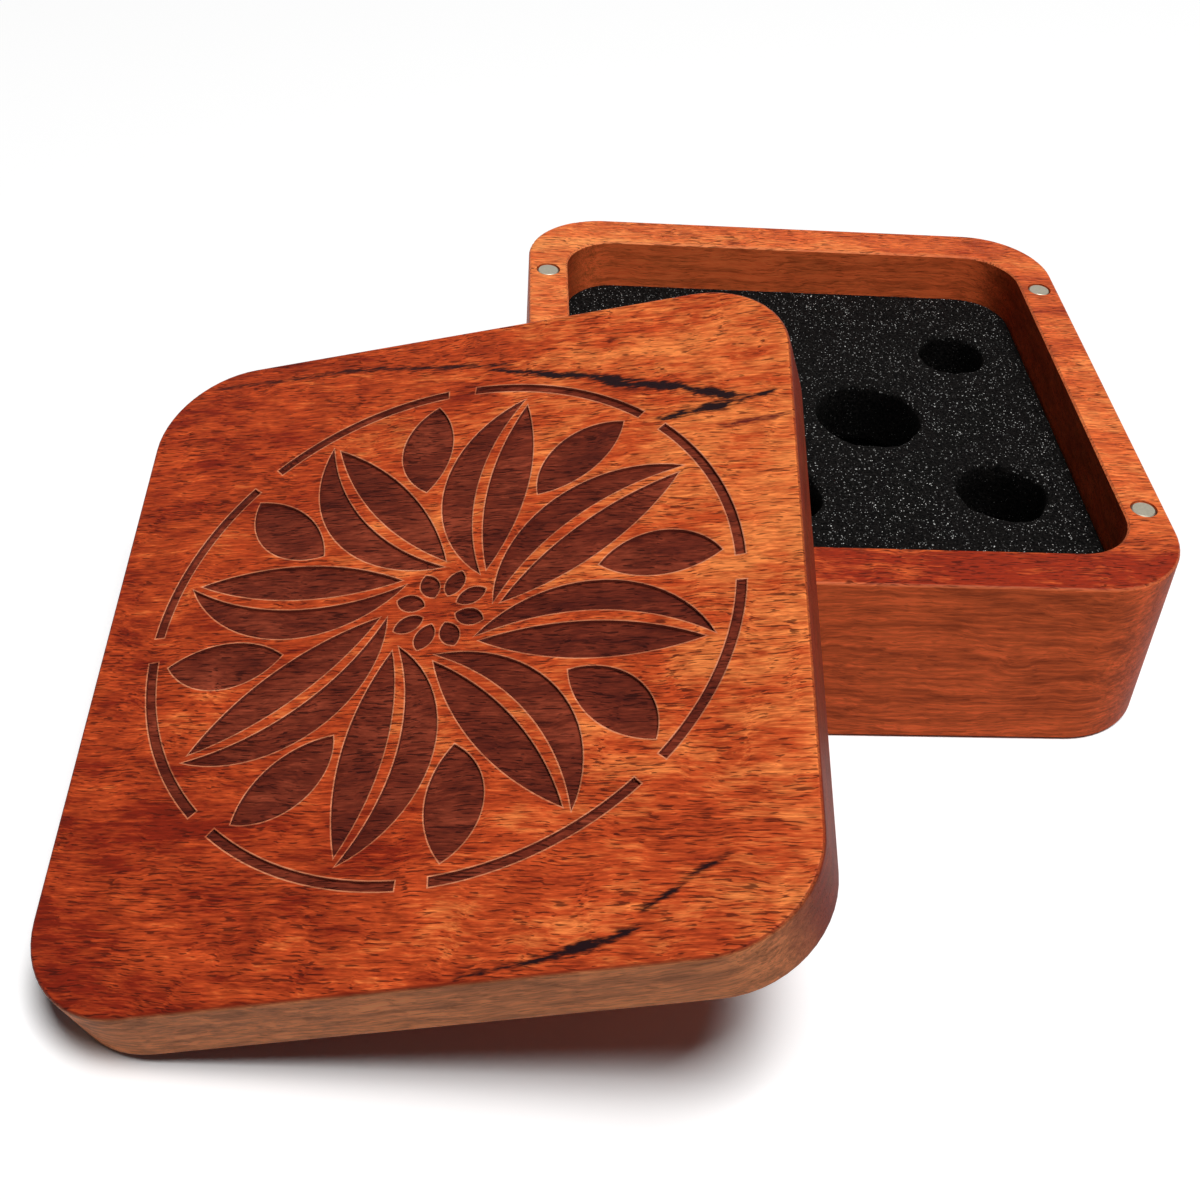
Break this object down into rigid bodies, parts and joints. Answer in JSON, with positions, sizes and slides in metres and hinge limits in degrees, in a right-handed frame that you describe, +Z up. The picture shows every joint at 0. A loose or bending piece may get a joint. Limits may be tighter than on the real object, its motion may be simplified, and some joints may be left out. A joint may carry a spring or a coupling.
{
  "type": "dice storage box",
  "caption": "Round-cornered hardwood box with foam cut to hold dice and a loose, thick magnetic lid engraved with a leaf rosette.",
  "frame": {"origin": "middle of the box's underside", "axes": "+X along the width, +Y to the back, +Z up"},
  "size_m": [0.1936, 0.215, 0.0696],
  "materials": {
    "box_wood": "oiled red-orange hardwood, fine horizontal figure",
    "lid_wood": "oiled red-orange hardwood with dark streaks, darker in the engraving",
    "foam": "charcoal open-cell foam with fine pale specks",
    "magnet_nickel": "satin nickel plating"
  },
  "bodies": {
    "box": {"box_body": "box_wood", "foam_base": "foam", "foam_insert": "foam", "box_magnet_front_left": "magnet_nickel", "box_magnet_front_right": "magnet_nickel", "box_magnet_back_left": "magnet_nickel", "box_magnet_back_right": "magnet_nickel"},
    "lid": {"lid_panel": "lid_wood", "lid_magnet_front_left": "magnet_nickel", "lid_magnet_front_right": "magnet_nickel", "lid_magnet_back_left": "magnet_nickel", "lid_magnet_back_right": "magnet_nickel"}
  },
  "joints": [
    {"name": "lid_lift", "type": "slide", "parent": "box", "child": "lid", "axis": [0, 0, 1], "range_m": [0, 0.12]}
  ]
}
